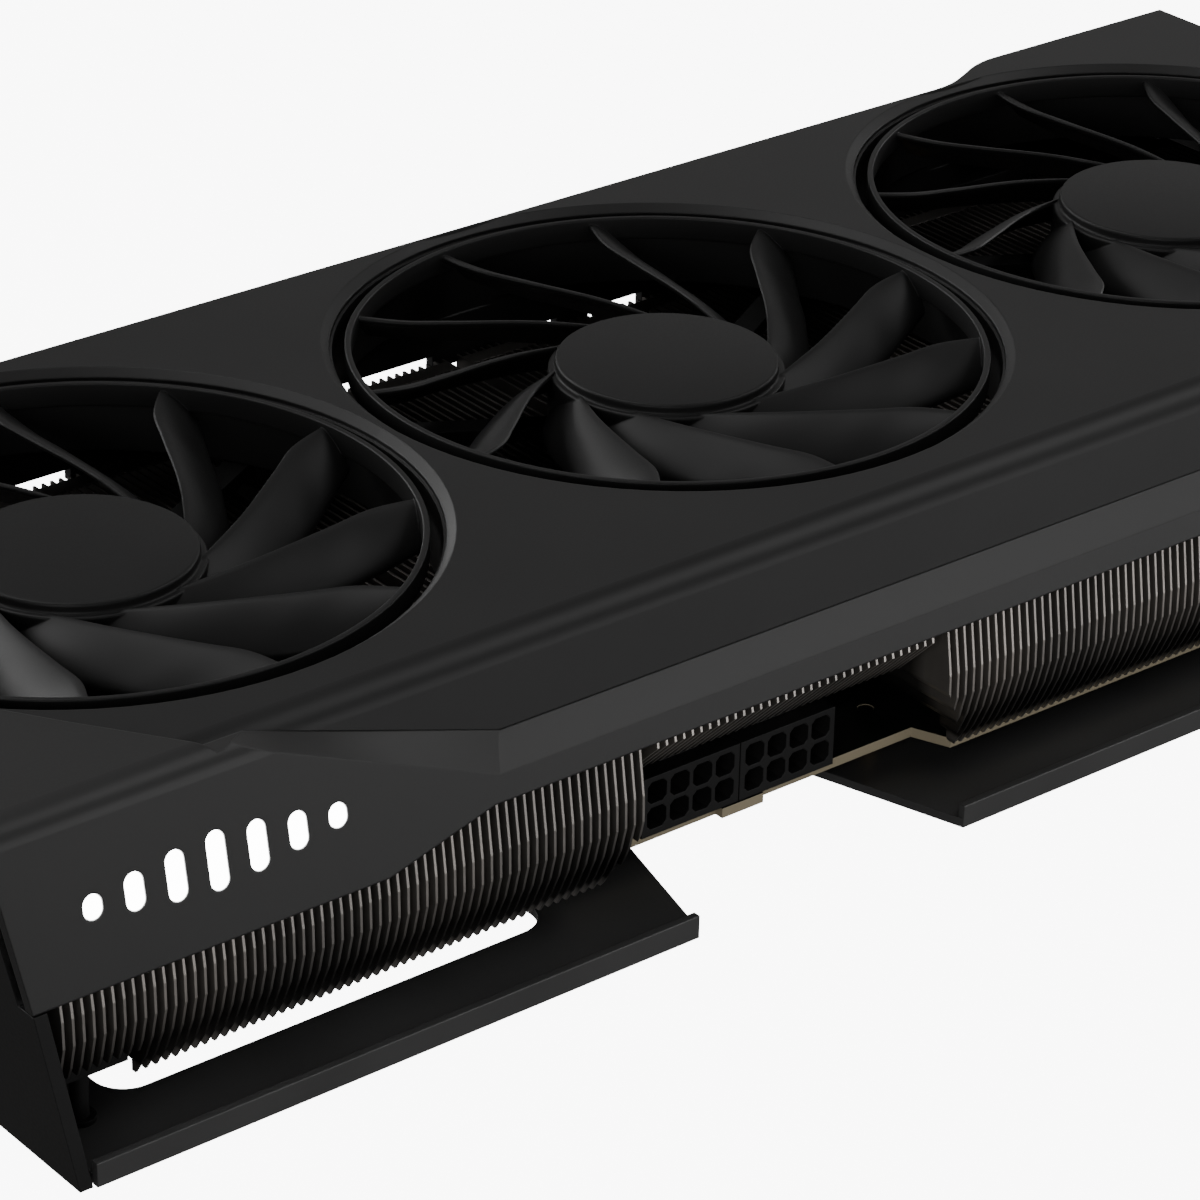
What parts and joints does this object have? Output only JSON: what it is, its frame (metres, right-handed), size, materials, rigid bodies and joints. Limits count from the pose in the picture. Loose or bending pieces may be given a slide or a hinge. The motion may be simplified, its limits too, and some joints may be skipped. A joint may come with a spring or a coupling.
{
  "type": "graphics card",
  "caption": "Long graphics card with a black shroud, ringed axial fans, a finned cooler on heat pipes, a backplate, a slot bracket and a lit side badge.",
  "frame": {"origin": "on the backplate's underside, on the middle fan's axis", "axes": "+X towards the slot bracket, -Y towards the edge with the power sockets, +Z out of the fans"},
  "size_m": [0.338, 0.1427, 0.052],
  "materials": {
    "shroud": "satin",
    "trim": "satin",
    "rotor": "satin",
    "frame_plastic": "matte",
    "diffuser": "frosted, lit from behind",
    "light_board": "matte",
    "end_plate": "satin",
    "backplate": "satin",
    "fins": "satin",
    "nickel_copper": "polished nickel over copper",
    "vrm_plate": "satin",
    "board": "solder mask, satin",
    "gold": "polished",
    "package": "satin",
    "die": "polished",
    "chip": "matte",
    "ferrite": "matte",
    "capacitor": "satin",
    "pad": "matte",
    "socket": "satin",
    "header": "satin",
    "winding": "enamelled copper",
    "fan_board": "satin",
    "bronze": "sintered",
    "steel": "brushed",
    "black_screw": "black oxide",
    "brass_post": "satin",
    "bracket": "dark plated",
    "port_shell": "satin nickel"
  },
  "bodies": {
    "card_body": {"fan_shroud": "shroud", "side_trim": "trim", "fan_frame_1": "frame_plastic", "fan_frame_2": "frame_plastic", "fan_frame_3": "frame_plastic", "tail_supports": "frame_plastic", "badge_diffuser": "diffuser", "badge_light_board": "light_board", "tail_end_plate": "end_plate", "backplate": "backplate", "fin_stack_tail": "fins", "fin_stack_middle": "fins", "fin_stack_bracket": "fins", "cold_plate": "nickel_copper", "heat_pipes": "nickel_copper", "vrm_plates": "vrm_plate", "main_board": "board", "edge_contacts": "gold", "power_pins": "gold", "gpu_package": "package", "gpu_die": "die", "memory_chips": "chip", "mosfets": "chip", "inductors": "ferrite", "capacitors": "capacitor", "thermal_pads": "pad", "power_socket_1": "socket", "power_socket_2": "socket", "fan_headers": "header", "fan_stator_1": "winding", "fan_stator_2": "winding", "fan_stator_3": "winding", "fan_circuit_1": "fan_board", "fan_circuit_2": "fan_board", "fan_circuit_3": "fan_board", "fan_bearing_1": "bronze", "fan_bearing_2": "bronze", "fan_bearing_3": "bronze", "retention_bracket": "steel", "fan_screws": "black_screw", "backplate_screws": "black_screw", "retention_screws": "black_screw", "bracket_screws": "black_screw", "standoffs": "brass_post", "io_bracket": "bracket", "video_port_1": "port_shell", "video_port_2": "port_shell", "video_port_3": "port_shell", "video_port_4": "port_shell"},
    "fan_1": {"fan_rotor_1": "rotor", "rotor_magnet_1": "ferrite", "rotor_shaft_1": "steel"},
    "fan_2": {"fan_rotor_2": "rotor", "rotor_magnet_2": "ferrite", "rotor_shaft_2": "steel"},
    "fan_3": {"fan_rotor_3": "rotor", "rotor_magnet_3": "ferrite", "rotor_shaft_3": "steel"}
  },
  "joints": [
    {"name": "fan_1_spin", "type": "hinge", "parent": "card_body", "child": "fan_1", "pos_m": [-0.1065, 0, 0.045], "axis": [0, 0, 1], "continuous": true},
    {"name": "fan_2_spin", "type": "hinge", "parent": "card_body", "child": "fan_2", "pos_m": [0, 0, 0.045], "axis": [0, 0, 1], "continuous": true},
    {"name": "fan_3_spin", "type": "hinge", "parent": "card_body", "child": "fan_3", "pos_m": [0.1065, 0, 0.045], "axis": [0, 0, 1], "continuous": true}
  ]
}
